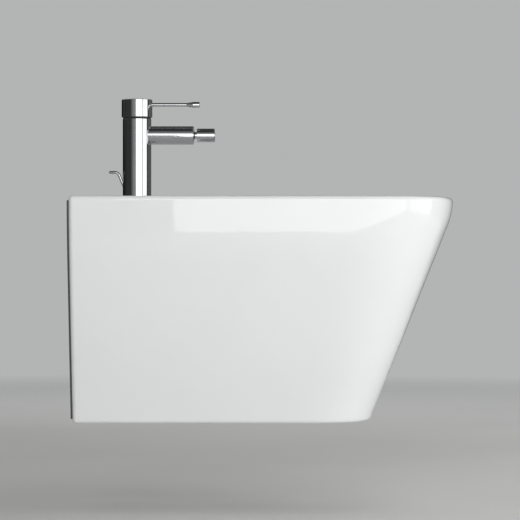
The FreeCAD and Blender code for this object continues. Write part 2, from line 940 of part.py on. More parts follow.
def nozzle_shell():
    """Nozzle sleeve with a rounded front edge."""
    start = tap_point(nozzle_start, 0, spout_height)
    end = tap_point(nozzle_end, 0, spout_height)
    shell = rod(start, end, nozzle_radius)
    front = [edge for edge in shell.Edges if edge.BoundBox.XMin > start.x + nozzle_round]
    shell = shell.makeFillet(nozzle_round, front)
    shell = shell.cut(rod(start, end, neck_radius))
    inner = tap_point(nozzle_start + nozzle_back_wall, 0, spout_height)
    shell = shell.cut(rod(inner, end, nozzle_neck_bore))
    return shell.cut(rod(tap_point(aerator_seat, 0, spout_height), end, nozzle_bore))


def aerator_seal():
    """Rubber ring behind the aerator."""
    start = tap_point(aerator_seat, 0, spout_height)
    return tube(start, start + OUT * aerator_seal_thickness, nozzle_bore, aerator_seal_bore)


def aerator_insert():
    """Plastic aerator cup with a pierced face."""
    start = tap_point(aerator_seat + aerator_seal_thickness, 0, spout_height)
    end = tap_point(nozzle_end - aerator_recess, 0, spout_height)
    cup = rod(start, end, nozzle_bore).cut(rod(start, end - OUT * aerator_face, aerator_cup_bore))
    centres = [Vec(0, 0, 0)]
    for row in (1, 2):
        count = 6 * row
        for step in range(count):
            angle = math.radians(360.0 * step / count)
            spread = row * aerator_hole_pitch
            centres.append(Vec(0, spread * math.cos(angle), spread * math.sin(angle)))
    holes = [rod(start + centre, end + centre, aerator_hole_radius) for centre in centres]
    return cup.cut(Part.makeCompound(holes))


# Cartridge
def housing_bottom():
    """Height of the cartridge housing's underside."""
    return cartridge_floor + cartridge_seal_height


def port_places():
    """Reach and side of the three ports under the cartridge."""
    return [(inlet_reach, inlet_offset), (inlet_reach, -inlet_offset), (-mixed_port_reach, 0.0)]


def cartridge_seals():
    """Three port seals between the cartridge and the tap body."""
    low = above_rim(cartridge_floor)
    high = above_rim(housing_bottom())
    seals = []
    for reach, side in port_places():
        seals.append(ring(tap_x + reach, side, low, high, cartridge_seal_radius, cartridge_seal_bore))
    return Part.makeCompound(seals)


def fixed_disc_top():
    """Height of the sliding face between the two ceramic discs."""
    return fixed_disc_bottom + fixed_disc_thickness


def carrier_bottom():
    """Height of the face between the moving disc and its carrier."""
    return fixed_disc_top() + run_gap + moving_disc_thickness


def rotor_bottom():
    """Height of the rotor's underside."""
    return carrier_bottom() + carrier_thickness + free_gap


def cartridge_housing():
    """Plastic housing of the cartridge."""
    low = above_rim(housing_bottom())
    shoulder = above_rim(housing_shoulder)
    high = above_rim(housing_top)
    outer = cartridge_bore - slip_gap
    points = [(0, low), (outer, low), (outer, shoulder), (housing_neck_radius, shoulder)]
    points += [(housing_neck_radius, high), (0, high)]
    housing = turned(points, tap_x)
    flange_top = rotor_bottom() + rotor_flange_thickness + free_gap
    chamber = rod(tap_point(0, 0, fixed_disc_bottom), tap_point(0, 0, flange_top), housing_chamber_radius)
    neck = rod(tap_point(0, 0, fixed_disc_bottom), tap_point(0, 0, housing_top), rotor_radius + run_gap)
    housing = housing.cut(chamber).cut(neck)
    for reach, side in port_places():
        start = tap_point(reach, side, housing_bottom())
        housing = housing.cut(rod(start, tap_point(reach, side, fixed_disc_top()), cartridge_port_radius))
    return housing


def fixed_disc():
    """Fixed ceramic disc with its ports."""
    low = above_rim(fixed_disc_bottom)
    disc = rod(Vec(tap_x, 0, low), tap_point(0, 0, fixed_disc_top()), housing_chamber_radius)
    for reach, side in port_places():
        start = tap_point(reach, side, fixed_disc_bottom)
        disc = disc.cut(rod(start, tap_point(reach, side, fixed_disc_top()), cartridge_port_radius))
    return disc


def moving_disc():
    """Sliding ceramic disc."""
    start = tap_point(0, 0, fixed_disc_top() + run_gap)
    disc = rod(start, tap_point(0, 0, carrier_bottom()), moving_disc_radius)
    return disc.cut(rod(start, start + UP * (moving_disc_thickness / 2.0), moving_disc_radius / 2.0))


def disc_carrier():
    """Plastic carrier on the sliding disc, moved by the stem's tip."""
    start = tap_point(0, 0, carrier_bottom())
    top = start + UP * carrier_thickness
    carrier = rod(start, top, moving_disc_radius)
    return carrier.cut(rod(top - UP * carrier_pocket_depth, top, carrier_pocket_radius))


def stem_pin_rod(radius):
    """Cylinder on the flow pivot across the rotor."""
    half = rotor_radius - free_gap
    return rod(tap_point(0, -half, pivot_height), tap_point(0, half, pivot_height), radius)


def cartridge_rotor():
    """Turning guide of the cartridge, slotted for the stem."""
    start = tap_point(0, 0, rotor_bottom())
    top = tap_point(0, 0, rotor_top)
    flange_top = start + UP * rotor_flange_thickness
    rotor = rod(start, top, rotor_radius).fuse(rod(start, flange_top, rotor_flange_radius))
    tilt = math.radians(flow_tilt)
    stem_half = stem_radius / math.cos(tilt) + free_gap
    front = (pivot_height - rotor_bottom()) * math.tan(tilt) + stem_half
    back = (rotor_top - pivot_height) * math.tan(tilt) + stem_half
    half = stem_radius + free_gap
    slot = box(tap_point(-back, -half, rotor_bottom()), tap_point(front, half, rotor_top))
    return rotor.cut(slot).cut(stem_pin_rod(stem_pin_radius))


def stem_pin():
    """Cross pin that the stem tips on."""
    return stem_pin_rod(stem_pin_radius)


def square_bottom():
    """Height of the stem's square, which clears the rotor's top when the stem is tipped."""
    tilt = math.radians(flow_tilt)
    clear_rise = rotor_top - pivot_height + free_gap + stem_square / 2.0 * math.sin(tilt)
    return pivot_height + clear_rise / math.cos(tilt)


def cartridge_stem():
    """Stem from the sliding disc up to the handle cap."""
    pocket_floor = carrier_bottom() + carrier_thickness - carrier_pocket_depth
    tip = tap_point(0, 0, pocket_floor + stem_tip_gap)
    shaft = rod(tip, tap_point(0, 0, square_bottom()), stem_radius)
    half = stem_square / 2.0
    square = box(tap_point(-half, -half, square_bottom()), tap_point(half, half, stem_top))
    return shaft.fuse(square).cut(stem_pin_rod(stem_pin_radius + run_gap))


def cartridge_nut():
    """Brass nut that holds the cartridge down."""
    low = above_rim(housing_shoulder)
    step = above_rim(housing_top + free_gap)
    high = above_rim(cartridge_nut_top)
    bore = rotor_radius + free_gap
    points = [(housing_neck_radius + slip_gap, low), (cartridge_bore, low), (cartridge_bore, high)]
    points += [(bore, high), (bore, step), (housing_neck_radius + slip_gap, step)]
    return turned(points, tap_x)


def slide_ring():
    """Dark ring on the tap body's top that closes the gap under the cap."""
    low = above_rim(tap_top)
    high = above_rim(cap_bottom + slide_ring_rise)
    return ring(tap_x, 0, low, high, tap_radius - tap_edge, cartridge_bore + free_gap)


# Handle
def handle_cap():
    """Round cap over the cartridge, with holes for the lever and the set screw."""
    low = above_rim(cap_bottom)
    high = above_rim(cap_top)
    skirt = above_rim(cap_skirt_top)
    ceiling = above_rim(cap_ceiling)
    points = [(cap_skirt_bore, low), (cap_radius, low), (cap_radius, high - cap_edge)]
    points += [(cap_radius - cap_edge, high), (0, high), (0, ceiling), (cap_cavity_radius, ceiling)]
    points += [(cap_cavity_radius, skirt), (cap_skirt_bore, skirt)]
    cap = turned(points, tap_x)
    half = stem_square / 2.0
    cap = cap.cut(box(tap_point(-half, -half, cap_ceiling), tap_point(half, half, stem_top)))
    lever_start = tap_point(lever_root_reach, 0, lever_height)
    lever_hole = rod(lever_start, tap_point(lever_end, 0, lever_height), lever_radius)
    grub_hole = rod(tap_point(-lever_end, 0, grub_height), tap_point(-half, 0, grub_height), grub_radius)
    return cap.cut(lever_hole).cut(grub_hole)


def lever_rod():
    """Thin lever with a flared end."""
    points = [(lever_root_reach, 0), (lever_root_reach, lever_radius), (lever_flare_start, lever_radius)]
    points += [(lever_flare_end, lever_tip_radius), (lever_end - lever_end_chamfer, lever_tip_radius)]
    points += [(lever_end, lever_tip_radius - lever_end_chamfer), (lever_end, 0)]
    return turned_forward([(tap_x + reach, radius) for reach, radius in points], above_rim(lever_height))


def grub_screw():
    """Set screw that holds the cap on the stem."""
    start = tap_point(-stem_square / 2.0 - grub_length, 0, grub_height)
    return rod(start, start + OUT * grub_length, grub_radius)


def index_plug():
    """Small cover in the set screw's hole."""
    start = tap_point(-cap_radius + plug_button_recess, 0, grub_height)
    return rod(start, start + OUT * plug_button_length, grub_radius)


# Lift rod and its clamp
def link_point():
    """Where the rod clamp sits on the lift rod with the waste open."""
    return lift_point(-ball_rod_depth() - link_drop)


def lift_foot():
    """Lower end of the lift rod."""
    return link_point() - lift_direction() * lift_rod_tail


def lift_rod():
    """Bent lift rod from its handle end down to the clamp."""
    handle = tap_point(lift_handle_reach, 0, lift_handle_height)
    corner = lift_point(lift_handle_height)
    foot = lift_foot()
    turn = math.radians(90.0 - lift_lean)
    cut_back = lift_bend_radius * math.tan(turn / 2.0)
    arc_start = corner - OUT * cut_back
    arc_end = corner - lift_direction() * cut_back
    centre = arc_start - UP * lift_bend_radius
    middle_angle = math.radians(90.0) - turn / 2.0
    middle = centre + Vec(math.cos(middle_angle), 0, math.sin(middle_angle)) * lift_bend_radius
    edges = [Part.makeLine(handle, arc_start), Part.Arc(arc_start, middle, arc_end).toShape()]
    edges.append(Part.makeLine(arc_end, foot))
    profile = Part.Wire([Part.makeCircle(lift_radius, handle, OUT)])
    bent = Part.Wire(edges).makePipeShell([profile], True, False)
    return bent.fuse(Part.makeSphere(lift_radius, handle))


def port_turn():
    """Angle of the ball rod from straight back, so that it passes beside the lift rod."""
    return math.degrees(math.atan2(link_offset, waste_x - link_point().x))


def ported(shape):
    """Copy of a shape made straight behind the waste, turned to the ball rod's line."""
    turned_copy = shape.copy()
    turned_copy.rotate(Vec(waste_x, 0, 0), UP, -port_turn())
    return turned_copy


def link_run():
    """Level distance from the ball's centre out to the clamp."""
    return math.hypot(waste_x - link_point().x, link_offset) - ball_rod_arm


def rest_angle():
    """Dip of the ball rod's outer end with the waste open."""
    return math.degrees(math.atan2(link_drop, link_run()))


def closed_angle():
    """Rise of the ball rod's outer end with the rod lifted and the waste shut."""
    lifted = link_point() + lift_direction() * lift_travel
    run = (waste_x - lifted.x) / math.cos(math.radians(port_turn())) - ball_rod_arm
    return math.degrees(math.atan2(lifted.z - below_rim(ball_rod_depth()), run))


def plug_travel():
    """Drop of the plug from open to shut."""
    swing = math.sin(math.radians(rest_angle())) + math.sin(math.radians(closed_angle()))
    return ball_rod_arm * swing


def mid_link():
    """The clamp's place at half lift."""
    return link_point() + lift_direction() * (lift_travel / 2.0)


def rod_clamp():
    """Clamp block fixed on the lift rod, with an open eye for the ball rod."""
    centre = link_point()
    low = Vec(-clamp_block_half, -clamp_block_side, -clamp_block_half)
    eye_side = link_offset + clamp_eye_radius + clamp_eye_wall
    block = box(centre + low, centre + Vec(clamp_block_half, eye_side, clamp_block_half))
    along = lift_direction() * (4.0 * clamp_block_half)
    block = block.cut(rod(centre - along, centre + along, lift_radius))
    eye_side_middle = link_offset * (waste_x - mid_link().x) / (waste_x - centre.x)
    eye = Vec(centre.x, eye_side_middle, centre.z)
    reach = OUT * (2.0 * clamp_block_half)
    block = block.cut(rod(eye - reach, eye + reach, clamp_eye_radius))
    screw_start = centre - Vec(0, clamp_block_side, 0)
    return block.cut(rod(screw_start, centre, clamp_screw_radius))


def clamp_screw():
    """Screw that grips the lift rod in the clamp."""
    centre = link_point()
    inner = centre - Vec(0, lift_radius, 0)
    outer = centre - Vec(0, clamp_block_side, 0)
    head = outer - Vec(0, clamp_screw_head, 0)
    screw = rod(outer, inner, clamp_screw_radius).fuse(rod(head, outer, clamp_screw_head))
    return screw.cut(rod(centre - lift_direction(), centre + lift_direction(), lift_radius))


# Ball rod, made straight behind the waste and turned to its line
def port_point(reach):
    """Point behind the waste's axis at the ball rod's depth."""
    return Vec(waste_x - reach, 0, below_rim(ball_rod_depth()))


def ball_rod():
    """Pivot rod with its ball, dipped to the open position."""
    centre = port_point(ball_rod_arm)
    outer = port_point(ball_rod_arm + link_run() + ball_rod_tail)
    straight = rod(port_point(-ball_rod_overrun), outer, ball_rod_radius)
    straight = straight.fuse(Part.makeSphere(ball_rod_ball, centre))
    straight.rotate(centre, Vec(0, 1, 0), -rest_angle())
    return ported(straight)


def ball_seats():
    """Two plastic seats that hold the ball in the port."""
    z = below_rim(ball_rod_depth())
    bore = ball_rod_ball + slip_gap
    inner = tube(port_point(ball_seat_inner_end), port_point(tee_bore + port_lip), bore, ball_seat_bore)
    face = waste_x - ball_seat_outer_start
    end = waste_x - port_length
    outer = turned_forward([(face, ball_seat_bore), (face, bore), (end, bore), (end, ball_seat_flare)], z)
    return ported(Part.makeCompound([inner, outer]))


def ball_nut():
    """Nut that closes the ball's port."""
    start = port_point(port_length - ball_nut_overlap)
    end = port_point(port_length + ball_nut_wall)
    nut = rod(start, end, ball_nut_radius)
    nut = nut.cut(rod(start, port_point(port_length), port_radius))
    return ported(nut.cut(rod(start, end, ball_nut_bore)))


# Waste
def waste_flange():
    """Upper part of the waste: flange, plug seat and tube with overflow slots."""
    top = below_rim(basin_depth + waste_flange_recess)
    under = top - waste_flange_thickness
    end = below_rim(waste_tube_end())
    seat_end = top - waste_seat_depth
    points = [(waste_seat_radius, top), (waste_flange_radius, top), (waste_flange_radius, under)]
    points += [(waste_tube_radius, under), (waste_tube_radius, end), (waste_tube_bore, end)]
    points += [(waste_tube_bore, seat_end)]
    body = turned(points, waste_x)
    middle = below_rim(duct_depth())
    half_height = overflow_slot_height / 2.0
    half_width = overflow_slot_width / 2.0
    slot = box(Vec(waste_x, -half_width, middle - half_height),
               Vec(waste_x + waste_hole_radius, half_width, middle + half_height))
    for step in range(4):
        turn = slot.copy()
        turn.rotate(Vec(waste_x, 0, 0), UP, 90.0 * step)
        body = body.cut(turn)
    return body


def flange_seal():
    """Thin seal under the waste flange."""
    low = below_rim(waste_recess_depth())
    return ring(waste_x, 0, low, low + flange_seal_thickness, waste_flange_radius, flange_seal_bore)


def waste_seal():
    """Rubber washer under the ceramic."""
    top = below_rim(waste_boss_depth())
    return ring(waste_x, 0, top - waste_seal_thickness, top, waste_seal_radius, waste_tube_radius)


def waste_nut():
    """Back nut that draws the waste tight."""
    top = Vec(waste_x, 0, below_rim(waste_boss_depth() + waste_seal_thickness))
    bottom = top - UP * waste_nut_height
    return hexagon(waste_nut_flats, bottom, top).cut(rod(bottom, top, waste_tube_radius))


def waste_tee():
    """Lower part of the waste with the ball rod's port and a pipe socket."""
    seat = below_rim(waste_tube_end())
    cup_low = seat - tee_cup_wall
    bottom = below_rim(tee_bottom())
    socket_end = bottom - tee_socket_length
    points = [(tee_bore, seat), (waste_tube_radius, seat), (waste_tube_radius, seat + tee_cup_height)]
    points += [(tee_cup_radius, seat + tee_cup_height), (tee_cup_radius, cup_low), (tee_radius, cup_low)]
    points += [(tee_radius, bottom), (tee_socket_radius, bottom), (tee_socket_radius, socket_end)]
    points += [(pipe_radius, socket_end), (pipe_radius, bottom), (pipe_bore, bottom)]
    points += [(tee_bore, bottom + tee_funnel)]
    body = turned(points, waste_x)
    core = rod(Vec(waste_x, 0, bottom), Vec(waste_x, 0, seat + tee_cup_height), tee_bore)
    port = rod(port_point(0), port_point(port_length), port_radius).cut(core)
    bore = rod(port_point(tee_bore + port_lip), port_point(port_length), ball_rod_ball + slip_gap)
    lip = rod(port_point(0), port_point(port_length), port_lip_bore)
    body = body.fuse(ported(port))
    return body.cut(ported(bore)).cut(ported(lip))


def plug_top():
    """Depth of the plug's top with the waste open."""
    return basin_depth + plug_closed_drop - plug_travel()


def eye_depth():
    """Depth of the plug's eye with the waste open."""
    return ball_rod_depth() - ball_rod_arm * math.sin(math.radians(rest_angle()))


def plug():
    """Stopper with a guide cross and an eye for the ball rod's tip."""
    top = below_rim(plug_top())
    rim_low = top - plug_rim
    groove_low = rim_low - plug_groove_height
    cone_low = groove_low - plug_cone_height
    eye = below_rim(eye_depth())
    points = [(0, top), (plug_radius - plug_edge, top), (plug_radius, top - plug_edge)]
    points += [(plug_radius, rim_low), (plug_groove_radius, rim_low), (plug_groove_radius, groove_low)]
    points += [(plug_cone_radius, groove_low), (plug_stem_radius, cone_low), (plug_stem_radius, eye), (0, eye)]
    stopper = turned(points, waste_x)
    fin_high = top - plug_fin_start
    fin_low = fin_high - plug_fin_length
    half = plug_fin_thickness / 2.0
    fins = [box(Vec(waste_x - plug_fin_reach, -half, fin_low), Vec(waste_x + plug_fin_reach, half, fin_high)),
            box(Vec(waste_x - half, -plug_fin_reach, fin_low), Vec(waste_x + half, plug_fin_reach, fin_high))]
    block = box(Vec(waste_x - plug_eye_half, -plug_eye_half, eye - plug_eye_half_height),
                Vec(waste_x + plug_eye_half, plug_eye_half, eye + plug_eye_half_height))
    stopper = stopper.fuse(fins + [ported(block)])
    hole_reach = OUT * waste_tube_bore
    eye_centre = Vec(waste_x, 0, eye)
    hole = rod(eye_centre - hole_reach, eye_centre + hole_reach, plug_eye_radius)
    return stopper.cut(ported(hole)).removeSplitter()


def plug_seal():
    """Rubber ring in the plug's groove."""
    middle = below_rim(plug_top() + plug_rim + plug_groove_height / 2.0)
    radius = plug_groove_radius + plug_seal_section
    return Part.makeTorus(radius, plug_seal_section, Vec(waste_x, 0, middle), UP)


# Bottle trap
def trap_tube():
    """Pipe from the waste down into the trap."""
    top = Vec(waste_x, 0, below_rim(tee_bottom()))
    return tube(Vec(waste_x, 0, below_rim(trap_dip_end())), top, pipe_radius, pipe_bore)


def trap_slip_nut():
    """Nut round the pipe on top of the trap."""
    top = below_rim(slip_top())
    wall = top - slip_nut_wall
    low = wall - slip_nut_skirt
    points = [(pipe_radius + slip_gap, top), (slip_nut_radius, top), (slip_nut_radius, low)]
    points += [(trap_collar_radius, low), (trap_collar_radius, wall), (pipe_radius + slip_gap, wall)]
    return turned(points, waste_x)


def trap_slip_seal():
    """Seal between the slip nut, the pipe and the trap."""
    top = below_rim(slip_top() + slip_nut_wall)
    return ring(waste_x, 0, top - slip_seal_thickness, top, trap_collar_radius, pipe_radius)


def trap_head():
    """Upper part of the bottle trap with its side outlet."""
    top = below_rim(collar_top())
    shoulder = top - trap_collar_length - slip_nut_skirt + slip_seal_thickness
    end = below_rim(trap_head_end())
    inner = trap_radius - trap_wall
    bore = pipe_radius + slip_gap
    points = [(bore, top), (trap_collar_radius, top), (trap_collar_radius, shoulder), (trap_radius, shoulder)]
    points += [(trap_radius, end), (inner, end), (inner, shoulder - trap_wall), (bore, shoulder - trap_wall)]
    head = turned(points, waste_x)
    z = below_rim(trap_outlet_depth())
    far = Vec(waste_x - trap_outlet_reach, 0, z)
    core = rod(Vec(waste_x, 0, end), Vec(waste_x, 0, shoulder - trap_wall), inner)
    branch = rod(Vec(waste_x, 0, z), far, trap_outlet_collar).cut(core)
    branch = branch.cut(rod(Vec(waste_x, 0, end), Vec(waste_x, 0, top), bore))
    head = head.fuse(branch)
    return head.cut(rod(Vec(waste_x - pipe_radius - slip_gap, 0, z), far, pipe_radius + slip_gap))


def trap_cup():
    """Screw-off cup at the bottom of the trap."""
    thread_top = below_rim(trap_head_end() - cup_overlap)
    seat = below_rim(trap_head_end() + cup_seal_thickness)
    bottom = below_rim(trap_bottom())
    inner = trap_radius - trap_wall
    points = [(trap_radius, thread_top), (cup_grip_radius, thread_top), (cup_grip_radius, seat - trap_wall)]
    points += [(trap_radius, seat - 2.0 * trap_wall), (trap_radius, bottom), (0, bottom)]
    points += [(0, bottom + trap_wall), (inner, bottom + trap_wall), (inner, seat), (trap_radius, seat)]
    return turned(points, waste_x)


def cup_seal():
    """Rubber ring between the trap's two parts."""
    top = below_rim(trap_head_end())
    return ring(waste_x, 0, top - cup_seal_thickness, top, trap_radius, trap_radius - trap_wall)


def outlet_point(reach):
    """Point on the outlet pipe's axis behind the waste."""
    return Vec(waste_x - reach, 0, below_rim(trap_outlet_depth()))


def outlet_pipe():
    """Pipe from the trap back to the wall, with a stop bead for the wall's socket."""
    start = outlet_point(trap_outlet_reach - outlet_insert)
    end = Vec(outlet_end_x, 0, start.z)
    bead_back = end + OUT * outlet_socket_depth
    bead_front = bead_back + OUT * outlet_bead_width
    bead = tube(bead_back, bead_front, pipe_radius + outlet_bead_height, pipe_bore)
    return tube(end, start, pipe_radius, pipe_bore).fuse(bead).removeSplitter()


def outlet_seal():
    """Seal between the outlet pipe, its nut and the trap."""
    start = outlet_point(trap_outlet_reach)
    return tube(start - OUT * slip_seal_thickness, start, trap_outlet_collar, pipe_radius)


def outlet_nut():
    """Nut on the trap's outlet."""
    z = below_rim(trap_outlet_depth())
    face = waste_x - trap_outlet_reach - slip_seal_thickness
    end = face - slip_nut_wall
    start = face + slip_nut_skirt
    grip = trap_outlet_collar + slip_nut_wall
    bore = pipe_radius + slip_gap
    points = [(start, trap_outlet_collar), (start, grip), (end, grip), (end, bore), (face, bore)]
    points += [(face, trap_outlet_collar)]
    return turned_forward(points, z)


makers = [
    ceramic_body, ceramic_bowl, wall_pad, fixing_sleeves, fixing_washers, fixing_nuts, overflow_ring,
    tap_gasket, tap_base, tap_body, rod_bush, tap_stud, clamp_gasket, clamp_plate, clamp_nut,
    spout_tube, swivel_collar, swivel_washer, swivel_seal, swivel_ring,
    nozzle_ball, nozzle_shell, aerator_seal, aerator_insert,
    cartridge_seals, cartridge_housing, fixed_disc, moving_disc, disc_carrier,
    cartridge_rotor, stem_pin, cartridge_stem, cartridge_nut, slide_ring,
    handle_cap, lever_rod, grub_screw, index_plug,
    lift_rod, rod_clamp, clamp_screw, ball_rod, ball_seats, ball_nut,
    waste_flange, flange_seal, waste_seal, waste_nut, waste_tee, plug, plug_seal,
    trap_tube, trap_slip_nut, trap_slip_seal, trap_head, trap_cup, cup_seal,
    outlet_pipe, outlet_seal, outlet_nut,
]

os.makedirs("parts", exist_ok=True)
for maker in makers:
    shape = maker()
    shape.exportStep("parts/" + maker.__name__ + ".step")
    print(maker.__name__, len(shape.Solids), shape.isValid(), round(shape.Volume))

pivot = ported(Part.Vertex(port_point(ball_rod_arm))).Point
print("ball rod pivot", pivot, "turned from straight back by", port_turn())
print("ball rod dips", rest_angle(), "and rises", closed_angle(), "degrees; the plug drops", plug_travel())
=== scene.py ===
import json
import math

import bmesh
import bpy
from bpy.props import FloatProperty, FloatVectorProperty, IntProperty, PointerProperty
from mathutils import Matrix, Vector


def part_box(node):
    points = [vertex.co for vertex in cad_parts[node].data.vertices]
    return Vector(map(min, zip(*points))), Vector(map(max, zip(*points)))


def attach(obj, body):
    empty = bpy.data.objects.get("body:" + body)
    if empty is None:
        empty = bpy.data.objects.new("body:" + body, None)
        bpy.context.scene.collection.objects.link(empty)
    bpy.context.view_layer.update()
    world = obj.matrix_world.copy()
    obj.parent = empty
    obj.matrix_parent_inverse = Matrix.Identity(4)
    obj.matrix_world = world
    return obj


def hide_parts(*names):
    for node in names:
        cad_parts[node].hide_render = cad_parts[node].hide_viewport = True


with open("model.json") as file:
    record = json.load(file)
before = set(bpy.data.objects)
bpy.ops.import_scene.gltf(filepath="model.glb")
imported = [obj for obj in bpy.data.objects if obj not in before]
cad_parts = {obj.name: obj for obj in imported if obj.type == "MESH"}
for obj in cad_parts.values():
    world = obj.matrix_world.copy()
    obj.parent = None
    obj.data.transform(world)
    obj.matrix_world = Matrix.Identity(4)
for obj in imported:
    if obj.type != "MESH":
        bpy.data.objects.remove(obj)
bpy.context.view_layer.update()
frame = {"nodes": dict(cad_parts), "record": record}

bl_info = {
    "name": "Wall-hung Bidet",
    "version": (1, 0, 0),
    "blender": (4, 5, 0),
    "location": "3D View > Sidebar > Bidet",
    "description": "Finishes, small details and studio of a wall-hung bidet with a swivel-nozzle mixer",
    "category": "Object",
}


# Settings
def colour(name, description, default):
    """A colour setting."""
    return FloatVectorProperty(name=name, description=description, default=default, subtype="COLOR", size=3,
                               min=0.0, max=1.0)


def length(name, description, default):
    """A size setting in metres."""
    return FloatProperty(name=name, description=description, default=default, unit="LENGTH", precision=5)


def share(name, description, default):
    """A setting from nothing to all."""
    return FloatProperty(name=name, description=description, default=default, subtype="FACTOR",
                         min=0.0, max=1.0)


def brightness(name, description, default):
    """A setting for the brightness of a light or a glow."""
    return FloatProperty(name=name, description=description, default=default, min=0.0)


class BidetFinish(bpy.types.PropertyGroup):
    """Colours and gloss of the bidet's surfaces."""
    glaze: colour("Glaze", "White of the fired glaze", (0.86, 0.87, 0.872))
    glaze_shade: colour("Glaze shade", "Where the glaze lies a little thicker", (0.845, 0.858, 0.862))
    glaze_roughness: share("Glaze roughness", "Roughness of the fired glaze", 0.022)
    chrome: colour("Chrome", "Tint of the plated metal", (0.57, 0.58, 0.59))
    chrome_shade: colour("Chrome shade", "Tint where the plating is hazy", (0.5, 0.51, 0.52))
    chrome_roughness: share("Chrome roughness", "Roughness of the plated metal", 0.045)
    brass: colour("Brass", "Turned brass", (0.72, 0.55, 0.28))
    brass_shade: colour("Brass tarnish", "Brass that has dulled", (0.46, 0.33, 0.16))
    steel: colour("Steel", "Zinc-plated steel", (0.56, 0.57, 0.58))
    steel_shade: colour("Steel shade", "Zinc with a warmer tint", (0.47, 0.46, 0.42))
    rubber: colour("Rubber", "Black sealing rubber", (0.018, 0.018, 0.019))
    rubber_shade: colour("Rubber bloom", "Rubber with a grey bloom", (0.045, 0.045, 0.046))
    guide: colour("Guide plastic", "Pale slippery plastic of bushes and seats", (0.74, 0.74, 0.70))
    guide_shade: colour("Guide plastic shade", "Flow marks in the pale plastic", (0.66, 0.66, 0.61))
    pipe: colour("Pipe plastic", "White plastic of the trap", (0.80, 0.80, 0.78))
    pipe_shade: colour("Pipe plastic shade", "Flow marks in the trap's plastic", (0.73, 0.73, 0.70))
    # Near-black pad colour: the real foam pad's colour, and also painted shade for the shadow gap between the
    # ceramic and the wall.
    foam: colour("Foam", "Dark closed-cell foam of the wall pad", (0.045, 0.046, 0.048))
    foam_shade: colour("Foam cells", "Cut cells of the wall pad", (0.11, 0.112, 0.115))
    disc: colour("Disc ceramic", "Hard ceramic of the sealing discs", (0.82, 0.81, 0.77))
    disc_shade: colour("Disc ceramic shade", "Lapping marks on the sealing discs", (0.73, 0.72, 0.68))
    index: colour("Index cover", "Grey cover of the set screw", (0.42, 0.43, 0.44))
    index_shade: colour("Index cover shade", "Flow marks in the grey cover", (0.36, 0.37, 0.38))


class BidetDetail(bpy.types.PropertyGroup):
    """Sizes of the small details."""
    pad_edge: length("Pad edge", "Rounding of the wall pad's cut edges", 0.0006)
    rib_radius: length("Rib radius", "Half width of one grip rib", 0.0009)
    rib_margin: length("Rib margin", "Bare rim at each end of the ribs", 0.0012)
    rib_spacing: length("Rib spacing", "Distance from rib to rib round a nut", 0.0052)
    cup_band: share("Cup band", "Share of the trap cup's height that is its wide grip", 0.37)
    thread_pitch: length("Thread pitch", "Rise of the stud's thread in one turn", 0.00125)
    thread_radius: length("Thread section", "Half width of the thread's ridge", 0.00042)
    jet_pitch: length("Jet pitch", "Distance between the rows of jets", 0.0026)
    jet_radius: length("Jet radius", "Radius of the rim round one jet", 0.00128)
    jet_section: length("Jet section", "Half width of the rim round one jet", 0.00022)
    jet_rows: IntProperty(name="Jet rows", description="Rows of jets round the middle one",
                          default=2, min=1, max=3)


class BidetStage(bpy.types.PropertyGroup):
    """Camera, floor and lights."""
    camera_place: FloatVectorProperty(name="Camera", description="Place of the camera", subtype="XYZ",
                                      unit="LENGTH", default=(0.2552, -2.88, 0.0051))
    camera_lens: FloatProperty(name="Lens", description="Focal length in millimetres", default=142.0)
    floor_height: length("Floor", "Height of the floor against the origin", -0.332)
    floor_colour: colour("Floor colour", "Pale floor", (0.7, 0.7, 0.69))
    backdrop_colour: colour("Backdrop", "Pale ground behind the object", (0.45, 0.46, 0.46))
    backdrop_strength: brightness("Backdrop strength", "Brightness of the backdrop", 1.0)
    side_dim: brightness("Sides", "Brightness of the studio to the sides", 0.06)
    front_glow: brightness("Front glow", "Brightness added beside the lights", 0.44)
    back_glow: brightness("Back glow", "Brightness added behind the nose", 0.13)
    high_glow: brightness("High glow", "Brightness added high at both ends", 0.4)
    low_strength: brightness("Low light", "Brightness of the low front panel", 2.1)
    high_strength: brightness("High light", "Brightness of the high front panel", 2.2)
    side_strength: brightness("Side light", "Brightness of the right-hand panel", 1.8)
    top_strength: brightness("Top light", "Brightness of the top panel", 0.5)
    fill_strength: brightness("Fill light", "Brightness of the front and back fills", 1.32)
    nose_strength: brightness("Nose light", "Brightness of the fill beside the nose", 2.0)


# Materials
def start_material(name):
    """A new material with its shader and the object's own coordinates."""
    material = bpy.data.materials.new(name)
    material.use_nodes = True
    tree = material.node_tree
    shader = tree.nodes["Principled BSDF"]
    place = tree.nodes.new("ShaderNodeTexCoord").outputs["Object"]
    return material, tree, shader, place


def clouds(tree, place, scale, detail=2.0):
    """Soft random pattern with a number of blobs to the metre."""
    node = tree.nodes.new("ShaderNodeTexNoise")
    node.inputs["Scale"].default_value = scale
    node.inputs["Detail"].default_value = detail
    tree.links.new(place, node.inputs["Vector"])
    return node.outputs["Fac"]


def cells(tree, place, scale):
    """Cell pattern, dark at the middle of each cell."""
    node = tree.nodes.new("ShaderNodeTexVoronoi")
    node.inputs["Scale"].default_value = scale
    tree.links.new(place, node.inputs["Vector"])
    return node.outputs["Distance"]


def stretched(tree, place, scale):
    """The coordinates stretched by a factor along each axis."""
    node = tree.nodes.new("ShaderNodeMapping")
    node.inputs["Scale"].default_value = scale
    tree.links.new(place, node.inputs["Vector"])
    return node.outputs["Vector"]


def spread(tree, factor, low=0.0, high=1.0, start=0.3, end=0.7):
    """A pattern's values from start to end, spread from low to high."""
    node = tree.nodes.new("ShaderNodeMapRange")
    for name, value in zip(("From Min", "From Max", "To Min", "To Max"), (start, end, low, high)):
        node.inputs[name].default_value = value
    tree.links.new(factor, node.inputs["Value"])
    return node.outputs["Result"]


